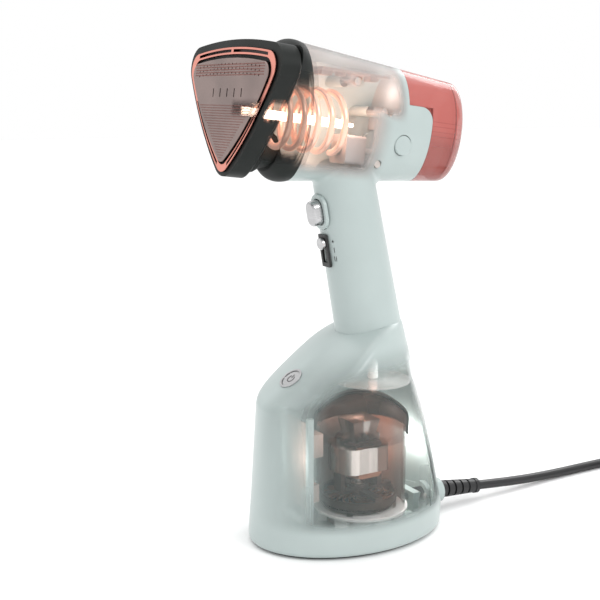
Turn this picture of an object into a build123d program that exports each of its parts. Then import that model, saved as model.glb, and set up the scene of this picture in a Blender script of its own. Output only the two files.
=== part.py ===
from build123d import *
import math
import os

os.makedirs("parts", exist_ok=True)

# Handheld garment steamer on its standing base. Millimetres, +Z up, steam leaves towards -X.
# The origin is the centre of the face that the base stands on.

# ---------------------------------------------------------------- overall sizes
base_front, base_rear, base_half_width = -71.2, 73.0, 52.2  # wall at the top of the bottom band
base_lean = 34.1  # how far the rear wall comes forward up to the handle
band_height = 15.0
slope_start_z = 98.0
slope_angle = 36.2
crown_radius = 95.0
shoulder_radius = 8.0
handle_top_front, handle_top_depth, handle_top_width = -22.6, 43.7, 38.0
handle_foot_front, handle_foot_depth, handle_foot_width = -4.1, 48.0, 45.4
handle_top_z, handle_foot_z = 230.0, 130.0
barrel_x, barrel_z, barrel_tilt = -53.2, 290.2, 7.1
barrel_front_height, barrel_rear_height = 89.8, 67.0
barrel_ovality = 0.60
barrel_length = 135.5
collar_rear = 10.0
tank_seam = 86.0
tongue_end = 106.0
tongue_top = 13.5
junction_radius = 5.0

# ---------------------------------------------------------------- walls and fits
shell_wall = 2.2
base_wall = 2.6
seam_gap = 0.2
slide_gap = 0.4
button_gap = 0.35
shaft_gap = 0.05

# ---------------------------------------------------------------- steam head
plate_plane = -34.5
bezel_depth = 14.0
plate_proud = 3.0
heater_axis_v = -3.5
coil_radius, coil_tube, coil_turns, coil_pitch = 19.4, 2.2, 5, 10.2
rod_radius = 2.8

# ---------------------------------------------------------------- motor and fan
motor_x = 10.0
chamber_x = 12.4
chamber_radius, chamber_wall_t = 33.0, 1.6
chamber_floor_z, chamber_rim_z, dome_top_z = 16.0, 73.0, 98.0
fan_radius = 27.2
stator_radius, stator_z0, stator_z1 = 21.0, 43.5, 61.5
shaft_radius = 2.5

# ---------------------------------------------------------------- controls
trigger_z, trigger_height, trigger_width, trigger_proud = 224.0, 17.0, 11.0, 8.0
trigger_travel = 2.5
slider_z, slider_travel = 198.0, 9.0
power_x, power_radius, power_travel = -44.0, 6.6, 1.2
release_s, release_v, release_radius = 84.0, -13.0, 6.5
tank_travel = 60.0

# ---------------------------------------------------------------- cord
cord_diameter = 7.0
cord_points = [(192.0, 2.5, 3.9), (243.0, 3.5, 3.6), (274.0, 2.6, 3.6), (305.0, 0.0, 3.6)]
coil_mid_radius = 40.0
coil_centre = (305.0, -47.0)
gland_z, gland_end, gland_radius = 13.4, 80.6, 8.8
stud_spots = [(-48.0, -27.0), (-48.0, 27.0), (46.0, -30.0), (46.0, 30.0)]


def save(name, shape):
    export_step(shape, f"parts/{name}.step")


def ellipse_at(z, front, rear, half_width):
    return Pos((front + rear) / 2, 0, z) * Ellipse((rear - front) / 2, half_width)


def slab(x0, x1, y0, y1, z0, z1):
    return Pos((x0 + x1) / 2, (y0 + y1) / 2, (z0 + z1) / 2) * Box(x1 - x0, y1 - y0, z1 - z0)


def rod(radius, z0, z1, x=0.0, y=0.0):
    return Pos(x, y, (z0 + z1) / 2) * Cylinder(radius, z1 - z0)


def tube(outer, inner, z0, z1, x=0.0, y=0.0):
    return rod(outer, z0, z1, x, y) - rod(inner, z0 - 1, z1 + 1, x, y)


def along_x(radius, x0, x1, y=0.0, z=0.0):
    return Pos((x0 + x1) / 2, y, z) * Rot(0, 90, 0) * Cylinder(radius, abs(x1 - x0))


def tube_x(outer, inner, x0, x1, y=0.0, z=0.0):
    return along_x(outer, x0, x1, y, z) - along_x(inner, x0 - 1, x1 + 1, y, z)


def along_y(radius, y0, y1, x=0.0, z=0.0):
    return Pos(x, (y0 + y1) / 2, z) * Rot(90, 0, 0) * Cylinder(radius, abs(y1 - y0))


def pipe(points, radii, radius):
    path = FilletPolyline(*points, radius=radii) if radii else Polyline(*points)
    start = Plane(origin=path @ 0, z_dir=path % 0)
    return sweep(start * Circle(radius), path=path)


def spring(radius, wire, pitch, height):
    path = Helix(pitch, height, radius)
    start = Plane(origin=path @ 0, z_dir=path % 0)
    return sweep(start * Circle(wire), path=path, is_frenet=True)


# ================================================================ barrel frame
# In the barrel frame X runs rearwards along the barrel and Z is across it.
barrel = Pos(barrel_x, 0, barrel_z) * Rot(0, barrel_tilt, 0)


def across(s):
    return Plane(origin=(s, 0, 0), x_dir=(0, 1, 0), z_dir=(1, 0, 0))


def half_height(s):
    return (barrel_front_height + (barrel_rear_height - barrel_front_height) * s / barrel_length) / 2


def oval(s, inset=0.0, width_share=None):
    h = half_height(s)
    share = barrel_ovality if width_share is None else width_share
    return across(s) * Ellipse(h * share - inset, h - inset)


def barrel_solid(s0, s1, inset=0.0):
    return loft([oval(s0, inset), oval(s1, inset)])


def triangle(corner_y, corner_v, apex_v, tip_v, corner_r, tip_r):
    outline = Polygon((0, tip_v), (corner_y, corner_v), (0, apex_v), (-corner_y, corner_v), align=None)
    outline = fillet([p for p in outline.vertices() if abs(p.Y - tip_v) < 0.01], tip_r)
    return fillet([p for p in outline.vertices() if abs(p.Y - corner_v) < 0.01], corner_r)


def shield(corner_y, corner_v, apex_v, tip_v, bow, corner_r, tip_r):
    # a triangle on its tip, with a domed top and sides that bow outwards
    run, drop = corner_y, corner_v - tip_v
    length = math.hypot(run, drop)
    mid = (run / 2 + bow * drop / length, (corner_v + tip_v) / 2 - bow * run / length)
    top = ThreePointArc((-corner_y, corner_v), (0, apex_v), (corner_y, corner_v))
    right = ThreePointArc((corner_y, corner_v), mid, (0, tip_v))
    left = ThreePointArc((0, tip_v), (-mid[0], mid[1]), (-corner_y, corner_v))
    outline = make_face([top, right, left])
    outline = fillet([p for p in outline.vertices() if abs(p.Y - tip_v) < 0.01], tip_r)
    return fillet([p for p in outline.vertices() if abs(p.Y - corner_v) < 0.01], corner_r)


def prism(sketch, s0, s1):
    return extrude(across(s0) * sketch, amount=s1 - s0)


# ================================================================ steam head
bezel_shape = (68.0, 33.0, 39.0, -49.5, 6.5, 13.0, 17.0)
trim_shape = (62.0, 29.0, 34.3, -45.0, 5.5, 10.0, 10.0)
trim_inner = (56.5, 25.5, 29.9, -39.5, 5.0, 8.0, 8.0)
plate_shape = (54.2, 23.4, 27.6, -37.6, 5.0, 6.5, 7.0)
cavity_shape = (54.8, 24.5, 26.5, -41.8, 11.0, 7.0)
core_shape = (40.0, 16.0, 17.5, -30.0, 7.0, 5.0)


def neck_ring(s, share, inset=0.0, waist_h=37.0, waist_w=24.6):
    # a closed curve that changes from the bezel's triangle (share 0) to the oval waist (share 1)
    sides = [(90.0, 36.6), (-40.3, 32.8), (220.3, 32.8)]
    points = []
    for i in range(36):
        a = math.radians(10.0 * i)
        reach = sum(max(math.cos(a - math.radians(d)), 0.0) ** 4.5 / k**4.5 for d, k in sides) ** (-1 / 4.5)
        round_reach = 1 / math.hypot(math.cos(a) / waist_w, math.sin(a) / waist_h)
        r = reach * (1 - share) + round_reach * share - inset
        points.append((r * math.cos(a), r * math.sin(a)))
    return across(s) * make_face(Spline(*points, periodic=True))


bezel_rear = plate_plane + bezel_depth
neck_rings = [neck_ring(bezel_rear, 0.0, 2.0), neck_ring(bezel_rear + 5, 0.45), neck_ring(-7.0, 1.0)]
neck = loft(neck_rings, ruled=True)
neck += loft([neck_ring(-7.0, 1.0), neck_ring(8.0, 1.0)])
neck_hollow = loft(
    [neck_ring(bezel_rear, 0.0, 4.2), neck_ring(bezel_rear + 5, 0.45, 2.2), neck_ring(-7.0, 1.0, 1.6)],
    ruled=True,
)
neck_hollow += loft([neck_ring(-7.0, 1.0, 1.6), neck_ring(9.0, 1.0, 1.6)])
bezel = prism(shield(*bezel_shape), plate_plane, bezel_rear)
bezel = chamfer(bezel.faces().sort_by(Axis.X)[-1].edges(), 1.5)
nozzle_housing = bezel + neck - neck_hollow
nozzle_housing -= prism(shield(*trim_shape), plate_plane - 1, plate_plane + 2.5)
nozzle_housing -= prism(shield(*trim_inner), plate_plane, plate_plane + 5)
nozzle_housing -= prism(triangle(*cavity_shape), plate_plane + 4.9, bezel_rear + 0.1)
save("nozzle_housing", barrel * nozzle_housing)



def frame_line(share):
    # an outline between the trim's outer edge (share 0) and its inner edge (share 1)
    return shield(*(a + (b - a) * share for a, b in zip(trim_shape, trim_inner)))


trim = prism(frame_line(0.05), plate_plane - 1.5, plate_plane + 2.5)
trim -= prism(shield(*trim_inner), plate_plane - 2, plate_plane + 3)
slot_ring = prism(frame_line(0.32), plate_plane - 2, plate_plane + 1)
slot_ring -= prism(frame_line(0.74), plate_plane - 3, plate_plane + 2)
for side in (-1, 1):
    trim -= slot_ring & slab(-60, 0, *sorted((side * 1.4, side * 46.0)), 26.0, 40.0)
    trim -= slot_ring & slab(-60, 0, *sorted((side * 6.5, side * 60.0)), -40.0, 1.0)
save("plate_trim", barrel * trim)

gasket = prism(shield(*trim_inner), plate_plane + 1.0, plate_plane + 4.0)
gasket -= prism(shield(*plate_shape), plate_plane, plate_plane + 5)
save("plate_gasket", barrel * gasket)

plate = prism(shield(*plate_shape), plate_plane - plate_proud, plate_plane + 4.0)
plate = fillet(plate.faces().sort_by(Axis.X)[0].edges(), 0.8)
for i in range(5):
    y = 9.5 * i - 20.0
    plate -= slab(plate_plane - 5, plate_plane + 5, y - 0.6, y + 0.6, 3.8, 9.0)
for row in range(3):
    for i in range(17):
        y = 5.0 * i - 40.0
        plate -= along_x(0.6, plate_plane - 5, plate_plane + 5, y, 18.4 + 2.7 * row - 2.6 * (y / 48.0) ** 2)
save("steam_plate", barrel * plate)

core = prism(triangle(*core_shape), plate_plane + 4.0, plate_plane + 14.0)
core -= prism(offset(triangle(*core_shape), amount=-3.0), plate_plane + 3.9, plate_plane + 6.5)
core -= along_x(rod_radius + 0.1, plate_plane + 8.0, plate_plane + 15.0, 0, heater_axis_v)
heater_rod = along_x(rod_radius, plate_plane + 8.0, 52.0, 0, heater_axis_v)
heater_rod += along_x(1.2, 52.0, 57.0, 0, heater_axis_v)
save("heater_rod", barrel * heater_rod)
coil_start = -9.5
helix = Helix(coil_pitch, coil_pitch * coil_turns, coil_radius)
helix_start = Plane(origin=helix @ 0, z_dir=helix % 0)
steam_coil = sweep(helix_start * Circle(coil_tube), path=helix, is_frenet=True)
steam_coil = Pos(coil_start, 0, heater_axis_v) * Rot(0, 90, 0) * steam_coil
save("steam_coil", barrel * steam_coil)
core_rear = plate_plane + 14.0
core += along_y(2.0, -6.0, 6.0, core_rear + 1.0, -17.0)
save("heater_core", barrel * core)
thermostat = along_x(6.5, core_rear, core_rear + 5.0, 0, 8.0)
thermostat += along_x(4.0, core_rear + 5, core_rear + 7, 0, 8.0)
save("thermostat", barrel * thermostat)

# ---------------------------------------------------------------- collar
collar = loft(
    [
        across(s) * Ellipse(w, h)
        for s, w, h in (
            (-7.0, 25.6, 39.2),
            (-3.5, 26.3, 43.0),
            (1.0, 26.8, 44.7),
            (collar_rear, half_height(collar_rear) * barrel_ovality, half_height(collar_rear)),
        )
    ]
)
collar += barrel_solid(collar_rear, collar_rear + 5.0, shell_wall)
collar -= loft([neck_ring(-8.0, 1.0), neck_ring(8.0, 1.0)])
collar -= loft([neck_ring(7.9, 1.0), neck_ring(16.0, 1.0)])
save("nozzle_collar", barrel * collar)

# ================================================================ handle and barrel shells


def handle_solid(z0, z1, inset=0.0):
    span = handle_top_z - handle_foot_z
    sections = []
    for z in (z0, (z0 + z1) / 2, z1):
        k = (z - handle_foot_z) / span
        front = handle_foot_front + (handle_top_front - handle_foot_front) * k
        depth = handle_foot_depth + (handle_top_depth - handle_foot_depth) * k
        width = handle_foot_width + (handle_top_width - handle_foot_width) * k
        sections.append(ellipse_at(z, front + inset, front + depth - inset, width / 2 - inset))
    return loft(sections)


def base_wall_solid(z0, inset=0.0):
    sections = []
    for z in (z0, 45.0, 75.0, 100.0, 125.0, 156.0):
        k = max(z - band_height, 0.0) / (156.0 - band_height)
        front = base_front + 7.8 * k**0.75
        rear = base_rear - base_lean * k
        half_width = base_half_width - 24.0 * k**2.1
        sections.append(ellipse_at(z, front + inset, rear - inset, half_width - inset))
    return loft(sections)


slope = Pos(base_front + 5.4, 0, slope_start_z) * Rot(0, -slope_angle, 0)


def crown_solid(inset=0.0):
    top = -inset
    flat = Line((-60, 0, top), (62, 0, top))
    bend = TangentArc((62, 0, top), (117.4, 0, top - 19), tangent=(1, 0, 0))
    end = Line((117.4, 0, top - 19), (140, 0, top - 36))
    rest = Polyline((140, 0, top - 36), (140, 0, -crown_radius), (-60, 0, -crown_radius), (-60, 0, top))
    face = make_face([*flat.edges(), *bend.edges(), *end.edges(), *rest.edges()])
    return slope * revolve(face, axis=Axis((0, 0, -crown_radius), (1, 0, 0)))


base_outer = base_wall_solid(band_height) & crown_solid()
rim_edges = [
    e for e in base_outer.edges() if e.center().Z > 80 and not e.is_closed or e.bounding_box().min.Z > 85
]
base_outer = fillet(rim_edges, shoulder_radius)
base_inner = base_wall_solid(band_height - 1, base_wall) & crown_solid(base_wall)

grip = handle_solid(handle_foot_z, handle_top_z + 32)
grip_hollow = handle_solid(handle_foot_z - 2, handle_top_z + 30, shell_wall)
tank_cut = slab(tank_seam, barrel_length + 30, -60, 60, tongue_top, 60)
tank_cut += slab(tongue_end, barrel_length + 30, -60, 60, -60, 60)
tank_cut = fillet(
    [
        e
        for e in tank_cut.edges().filter_by(Axis.Y)
        if abs(e.center().X - tongue_end) < 0.1 and abs(e.center().Z - tongue_top) < 0.1
    ],
    9.0,
)
handle_core = barrel * barrel_solid(5, 130, 8)
shell = barrel * (barrel_solid(collar_rear, barrel_length) - tank_cut) + (grip - handle_core)
junction = [
    e
    for e in shell.edges()
    if 235 < e.center().Z < 262 and abs(e.center().X) < 40 and e.bounding_box().size.Y > 8
]
shell = fillet(junction, junction_radius)
shell -= barrel * barrel_solid(collar_rear - 1, barrel_length, shell_wall)
shell -= grip_hollow
shell -= base_outer

screw_spots = [(47.0, 24.0), (70.0, 7.0), (69.0, -27.0)]
trigger = Pos(-21.8, 0, trigger_z) * Rot(0, -10.2, 0)
slide = Pos(-18.0, 0, slider_z) * Rot(0, -9.9, 0)
handle_screws = [(22.0, 236.0), (26.0, 196.0)]


def slot_prism(height, width, x0, x1):
    shape = Plane(origin=(x0, 0, 0), x_dir=(0, 0, 1), z_dir=(1, 0, 0)) * SlotOverall(height, width)
    return extrude(shape, amount=x1 - x0)


shell_space = barrel * barrel_solid(collar_rear, tongue_end, 0.6)
shell_space += handle_solid(handle_foot_z, handle_top_z, 0.6)
bosses = Part()
boss_bores = Part()
head_bores = Part()
for s, v in screw_spots:
    bosses += barrel * along_y(3.6, -30, 30, s, v)
    boss_bores += barrel * along_y(1.3, -13.1, 30, s, v)
    head_bores += barrel * along_y(2.7, -30, -13.0, s, v)
for x, z in handle_screws:
    bosses += along_y(3.2, -22, 22, x, z)
    boss_bores += along_y(1.3, -9, 14, x, z)
shell += bosses & shell_space
shell -= boss_bores
shell -= head_bores
shell -= trigger * slot_prism(24.4, 17.4, -3, 1.0)
shell -= trigger * slot_prism(trigger_height + 0.8, trigger_width + 0.8, -4, 6)
shell -= slide * slab(-4, 1.0, -4.7, 4.7, -11.2, 11.2)
shell -= slide * slab(-4, 6, -2.6, 2.6, -8.2, 8.2)
release_y = half_height(release_s) * barrel_ovality * math.sqrt(1 - (release_v / half_height(release_s)) ** 2)
for side in (-1, 1):
    shell -= barrel * along_y(release_radius + button_gap, side * 8, side * 30, release_s, release_v)
half = slab(-100, 120, -60, 0, 100, 360)
save("left_shell", shell & half)
save("right_shell", shell - half)

screws = []
for s, v in screw_spots:
    shank = along_y(1.25, -12.9, 8, s, v)
    head = along_y(2.4, -16.5, -13.0, s, v)
    screws.append(barrel * (shank + head))
save("shell_screws", Compound(children=screws))

# ================================================================ water tank
tank_h = half_height(tongue_end + 2) - shell_wall - slide_gap
tank_w = half_height(tongue_end + 2) * barrel_ovality - shell_wall - slide_gap
tank_split = 127.0
tank_front = tank_seam + 7.0


def tank_oval(s, inset):
    return across(s) * Ellipse(tank_w - inset, tank_h - inset)


skin = (barrel_solid(tank_seam, tank_split) & tank_cut) - slab(
    tank_seam - 1, tank_seam + seam_gap, -60, 60, -60, 60
)
skin = skin - slab(tank_seam, tongue_end + seam_gap, -60, 60, -60, tongue_top + seam_gap)
tank = skin + extrude(tank_oval(tank_front, 0), amount=tank_split - tank_front)
tank -= extrude(tank_oval(tank_front + 2.0, 2.0), amount=60)
upper_pocket = extrude(tank_oval(tank_seam + 2.2, 2.0), amount=20)
tank -= upper_pocket & slab(tank_seam, tank_front + 10, -60, 60, tongue_top + 2.2, 60)
valve_v = -19.5
tank += along_x(5.5, tank_front - 0.0, tank_front + 9.0, 0, valve_v)
tank -= along_x(3.6, tank_front - 1, tank_front + 3.5, 0, valve_v)
tank -= along_x(1.6, tank_front + 3.4, tank_front + 5.5, 0, valve_v)
tank -= along_x(3.6, tank_front + 5.4, tank_front + 12.0, 0, valve_v)
save("water_tank", barrel * tank)

lid = barrel_solid(tank_split, barrel_length)
lid = fillet(lid.faces().sort_by(Axis.X)[-1].edges(), 6.5)
lid += extrude(tank_oval(tank_split - 3.0, 2.0 + seam_gap), amount=3.0)
lid -= extrude(tank_oval(tank_split - 4.0, 4.2), amount=4.0 + 5.5)
mouth_v, mouth_radius = 12.0, 8.0
lid -= along_x(mouth_radius, tank_split, barrel_length + 1, 0, mouth_v)
lid -= along_x(mouth_radius + 2.5, barrel_length - 1.4, barrel_length + 1, 0, mouth_v)
save("tank_lid", barrel * lid)
plug_body = along_x(mouth_radius - 0.3, tank_split + 4.0, barrel_length - 1.0, 0, mouth_v)
plug_body += along_x(mouth_radius + 2.2, barrel_length - 1.3, barrel_length + 0.8, 0, mouth_v)
plug_body += slab(barrel_length + 0.7, barrel_length + 4.5, -6, 6, mouth_v - 1.4, mouth_v + 1.4)
plug_body -= along_x(mouth_radius - 2.2, tank_split + 3.0, barrel_length - 3.5, 0, mouth_v)
save("filler_plug", barrel * plug_body)
poppet = along_x(2.6, tank_front + 5.5, tank_front + 7.0, 0, valve_v)
poppet += along_x(1.0, tank_front + 4.0, tank_front + 14.0, 0, valve_v)
save("tank_valve", barrel * poppet)
cap = along_x(5.4, tank_front + 12.0, tank_front + 13.5, 0, valve_v)
cap -= along_x(1.4, tank_front + 11.0, tank_front + 15.0, 0, valve_v)
cap += tube_x(5.5, 4.7, tank_front + 9.0, tank_front + 12.1, 0, valve_v)
save("valve_cap", barrel * cap)
valve_spring = spring(1.9, 0.3, 1.0, 4.0)
save("tank_valve_spring", barrel * Pos(tank_front + 7.5, 0, valve_v) * Rot(0, 90, 0) * valve_spring)

# ================================================================ inside the barrel
inner_barrel = barrel_solid(collar_rear, tongue_end, shell_wall)
dock = inner_barrel & slab(tank_seam - 3.0, tank_seam - 0.5, -60, 60, -60, 60)
dock -= along_x(3.0, tank_seam - 4, tank_seam + 1, 0, valve_v)
for side in (-1, 1):
    dock -= along_y(release_radius + 2.6, side * 12, side * 30, release_s, release_v)
nipple = along_x(3.0, tank_seam - 10.0, tank_front + 2.0, 0, valve_v)
nipple += along_x(4.2, tank_seam - 4.5, tank_seam - 3.0, 0, valve_v)
nipple -= along_x(1.6, tank_seam - 11.0, tank_front + 3.0, 0, valve_v)
nipple_groove = along_x(3.5, tank_front + 0.2, tank_front + 1.2, 0, valve_v)
nipple_groove -= along_x(2.6, tank_front, tank_front + 1.4, 0, valve_v)
save("tank_dock", barrel * (dock + (nipple - nipple_groove)))
save("nipple_seal", barrel * (Pos(tank_front + 0.7, 0, valve_v) * Rot(0, 90, 0) * Torus(3.05, 0.42)))

for side, name in ((-1, "release_button_left"), (1, "release_button_right")):
    top = side * (release_y + 0.9)
    button = along_y(release_radius, top, side * 15.2, release_s, release_v)
    button = chamfer(button.faces().sort_by(Axis.Y)[0 if side < 0 else -1].edges(), 0.5)
    button += along_y(release_radius + 1.2, side * 15.2, side * 14.2, release_s, release_v)
    save(name, barrel * button)

pump_x0, pump_x1, pump_v = 48.0, 63.0, valve_v
pump = fillet(slab(pump_x0, pump_x1, -9.5, 9.5, pump_v - 9.5, pump_v + 9.5).edges().filter_by(Axis.X), 2.0)
pump += along_x(3.0, pump_x1, pump_x1 + 3.5, 0, pump_v)
pump -= along_x(3.05, pump_x0 - 1, pump_x1 - 3.0, 0, pump_v)
pump -= along_x(1.5, pump_x1 - 3.5, pump_x1 + 4.5, 0, pump_v)
save("pump_body", barrel * pump)
plunger = along_x(3.0, pump_x0 - 2.0, pump_x1 - 6.0, 0, pump_v)
plunger += along_x(4.5, pump_x0 - 3.0, pump_x0 - 2.0, 0, pump_v)
save("pump_plunger", barrel * plunger)

board = slab(24.0, 76.0, -9.0, 9.0, 29.0, 30.6)
board -= along_y(4.0, -12, 12, screw_spots[0][0], screw_spots[0][1])
board_parts = ((30, 0, 8, 10, 3.0), (41, -4, 5, 5, 2.5), (56, 3, 9, 7, 2.6), (65, -3, 5, 8, 3.2), (71, 2, 4, 6, 2.0))
for s, y, w, d, h in board_parts:
    board += slab(s - w / 2, s + w / 2, y - d / 2, y + d / 2, 29.0 - h, 29.0)
save("head_board", barrel * board)

hose_start, hose_end = tank_seam - 10.0, pump_x1 + 3.5
suction = pipe([(hose_start - 0.03, 0, valve_v), (hose_end + 0.03, 0, pump_v)], [], 2.2)
save("suction_hose", barrel * suction)

# ================================================================ handle controls
button = slot_prism(trigger_height, trigger_width, -trigger_proud, 6.0)
button = fillet(button.faces().sort_by(Axis.X)[0].edges(), 2.0)
button += slot_prism(trigger_height + 3.0, trigger_width + 2.4, 4.5, 6.2)
save("steam_button", trigger * button)
ring = slot_prism(24.0, 17.0, -1.4, 1.0) - slot_prism(trigger_height + 0.8, trigger_width + 0.8, -3, 2)
ring = chamfer(ring.faces().sort_by(Axis.X)[0].edges(), 0.4)
save("button_bezel", trigger * ring)
return_spring = spring(2.4, 0.35, 1.2, 4.8)
save("button_spring", trigger * (Pos(6.6, 0, -4.0) * Rot(0, 90, 0) * return_spring))
switch_body = slab(11.8, 18.0, -5.0, 5.0, -9.0, 9.0)
plunger_pin = slab(8.85, 11.8, -1.5, 1.5, 2.0, 5.0)
save("trigger_switch", trigger * (switch_body + plunger_pin))

slider_plate = slide * (slab(-0.8, 1.0, -4.5, 4.5, -11.0, 11.0) - slab(-3, 3, -2.4, 2.4, -8.0, 8.0))
save("slider_plate", slider_plate)
knob_z = 5.2
knob = along_x(4.0, -3.4, -1.1, 0, knob_z)
knob = chamfer(knob.faces().sort_by(Axis.X)[0].edges(), 0.5)
knob += slab(-1.2, 6.0, -1.2, 1.2, knob_z - 2.2, knob_z + 2.2)
save("mode_slider", slide * knob)
switch_board = slab(12.0, 13.6, -7.5, 7.5, -28.0, 14.0) + slab(6.4, 12.0, -4.0, 4.0, -10.0, 8.0)
save("handle_board", slide * switch_board)

# ================================================================ base
base_body = base_outer - base_inner
neck_z0, neck_z1 = 131.0, 164.0
neck_in = handle_solid(neck_z0, neck_z1, shell_wall + 0.1 + 2.0)
neck_out = handle_solid(neck_z0, neck_z1, shell_wall + 0.1)
base_body += neck_out
base_body -= handle_solid(110.0, neck_z1 + 2, shell_wall + 0.1 + 2.0)
power_run = (power_x - (base_front + 5.4)) / math.cos(math.radians(slope_angle))
power = slope * Pos(power_run, 0, 0)
base_body -= power * rod(power_radius + 1.9, -1.2, 3)
base_body -= power * rod(power_radius + 0.3, -8, 2)
for side in (-1, 1):
    base_body += power * rod(1.6, -13.0, -2.0, 0, side * 10.5)
gland_boss = along_x(gland_radius, base_rear - 8.0, gland_end, 0, gland_z)
gland_bore = along_x(5.2, base_rear - 20.0, gland_end + 1, 0, gland_z)
base_body += gland_boss & slab(40, 100, -20, 20, band_height, 60)
base_body -= gland_bore
for x, y in stud_spots:
    base_body += rod(4.0, band_height, 46.0, x, y) & base_inner
    base_body += slab(x - 1, x + 1, min(y, 2 * y), max(y, 2 * y), band_height, 44.0) & base_inner
    base_body -= rod(1.4, band_height - 1, 30.0, x, y)
save("base_body", base_body)

foot_z = 1.6
k_out, k_in = 4.0, 8.0
bottom = loft(
    [
        ellipse_at(foot_z, base_front - 0.8, base_rear - 1.2, base_half_width + 0.6),
        ellipse_at(band_height, base_front, base_rear, base_half_width),
    ]
)
bottom = fillet(bottom.faces().sort_by(Axis.Z)[0].edges(), 3.0)
bottom_space = (base_front + base_wall, base_rear - base_wall, base_half_width - base_wall)
bottom -= extrude(ellipse_at(4.2, *bottom_space), amount=20)
bottom += gland_boss & slab(40, 100, -20, 20, 0, band_height)
bottom -= gland_bore
bottom -= slab(base_rear - 22.0, base_rear - 8.0, -11.0, 11.0, 4.2, 20)
foot_outer = ellipse_at(0, base_front + k_out, base_rear - k_out, base_half_width - k_out)
k_foot = k_out + k_in
foot_inner = ellipse_at(0, base_front + k_foot, base_rear - k_foot, base_half_width - k_foot)
foot = extrude(foot_outer - foot_inner, amount=foot_z + 1.0)
bottom -= foot
lip = extrude(ellipse_at(band_height - 5, *bottom_space), amount=8)
lip_inner = ellipse_at(band_height - 6, base_front + 4.3, base_rear - 4.3, base_half_width - 4.3)
lip -= extrude(lip_inner, amount=10)
lip &= base_inner + slab(-90, 90, -60, 60, 0, band_height)
lip -= along_x(gland_radius + 0.2, 40, 90, 0, gland_z)
for x, y in stud_spots:
    lip -= rod(4.2, band_height - 1, 30, x, y)
    lip -= slab(x - 1.2, x + 1.2, -60, 60, band_height, 30)
    bottom += rod(4.0, 4.0, band_height, x, y)
    bottom -= rod(1.7, 0, 20, x, y)
    bottom -= rod(3.2, 0, 6.0, x, y)
bottom += lip
foot -= Part() + [rod(3.4, -1, 4, x, y) for x, y in stud_spots]
save("foot_ring", foot)
save(
    "base_screws",
    Compound(children=[rod(1.35, 5.9, 26.0, x, y) + rod(3.0, 3.6, 5.9, x, y) for x, y in stud_spots]),
)

power_button = power * (rod(power_radius, -3.0, 0.1) + rod(power_radius + 1.0, -4.4, -2.9))
save("power_button", power_button)
save("power_ring", power * tube(power_radius + 1.85, power_radius + 0.35, -1.15, 0.6))
power_switch = slab(-5, 5, -5, 5, -13.0, -7.6) + rod(1.8, -7.6, -5.8)
power_switch += slab(-8, 8, -13, 13, -14.6, -13.0)
save("power_switch", power * power_switch)

# ================================================================ blower in the base


def dome_solid(radius, z0, spring_z, top_z, shoulder):
    rise = top_z - spring_z
    cap_radius = (radius**2 + rise**2) / (2 * rise)
    solid = rod(radius, z0, top_z + 1) & Pos(0, 0, top_z - cap_radius) * Sphere(cap_radius)
    corner = [e for e in solid.edges() if abs(e.center().Z - spring_z) < 0.01 and e.length > 50]
    return Pos(chamber_x, 0, 0) * fillet(corner, shoulder)


wall_out = chamber_radius - chamber_wall_t
air_x = 21.6
mount = rod(chamber_radius, chamber_floor_z - 1.6, chamber_floor_z, chamber_x)
mount += tube(22.0, 19.5, 4.2, chamber_floor_z - 1.6, chamber_x)
for i in range(6):
    a = math.radians(60 * i + 30)
    post = Rot(0, 0, 60 * i + 30) * slab(24.0, 30.0, -4.5, 4.5, 4.2, chamber_floor_z - 1.6)
    mount += Pos(chamber_x, 0, 0) * post
save("motor_mount", mount)
save("chamber_wall", tube(wall_out, wall_out - 1.5, chamber_floor_z, chamber_rim_z - 1.0, chamber_x))
dome = dome_solid(chamber_radius, chamber_rim_z - 6.0, 82.0, dome_top_z, 8.0)
dome -= dome_solid(wall_out, chamber_rim_z - 7.0, 80.8, dome_top_z - chamber_wall_t, 6.5)
dome -= rod(3.6, 80, 110, air_x)
save("chamber_dome", dome)

stator_mid = (stator_z0 + stator_z1) / 2
winding_gap = (stator_z1 - stator_z0) + 0.4
stator = rod(stator_radius, stator_z0, stator_z1) & slab(-25, 25, -16.6, 16.6, 30, 70)
stator -= rod(11.2, 30, 70)
for sx in (-1, 1):
    for sy in (-1, 1):
        stator -= Pos(sx * 7.5, sy * 13.3, 50) * Box(4.2, 3.8, 40)
    stator -= rod(1.0, 30, 70, sx * (stator_radius - 1.4), 0)
save("stator_stack", Pos(motor_x, 0, 0) * stator)
windings = []
for sy in (-1, 1):
    loop = Pos(0, sy * 13.3, stator_mid) * Box(19.0, 3.4, winding_gap + 7.6)
    loop = fillet(loop.edges().filter_by(Axis.Y), 3.0)
    windings.append(Pos(motor_x, 0, 0) * (loop - Pos(0, sy * 13.3, stator_mid) * Box(11.2, 5, winding_gap)))
save("field_coils", Compound(children=windings))
armature = rod(10.7, 40.5, 59.5)
for i in range(12):
    armature -= Rot(0, 0, 30 * i) * slab(8.2, 12, -0.6, 0.6, 30, 70)
armature += rod(shaft_radius, 17.5, 77.0)
save("armature_core", Pos(motor_x, 0, 0) * armature)
copper = [tube(8.9, shaft_radius, z, z + 3.2, motor_x) for z in (37.3, 59.5)]
copper.append(tube(4.6, shaft_radius, 63.4, 70.0, motor_x))
save("armature_winding", Compound(children=copper))
top_block = loft([Pos(0, 0, 63) * Rectangle(15, 15), Pos(0, 0, 79) * Rectangle(21.6, 21.6)])
top_block -= rod(5.4, 62, 73)
top_block -= rod(5.0, 72.9, 78)
top_block -= rod(3.6, 77.9, 80)
top_block -= along_y(2.0, -20, 20, 0, 67)
for sx in (-1, 1):
    top_block += Pos(sx * 11.9, 0, 64.5) * Box(9.4, 4.8, 3.0)
    top_block += Pos(sx * 15.0, 0, (stator_z1 + 66.0) / 2) * Box(3.2, 4.8, 66.0 - stator_z1)
save("bearing_block", Pos(motor_x, 0, 0) * top_block)
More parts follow.
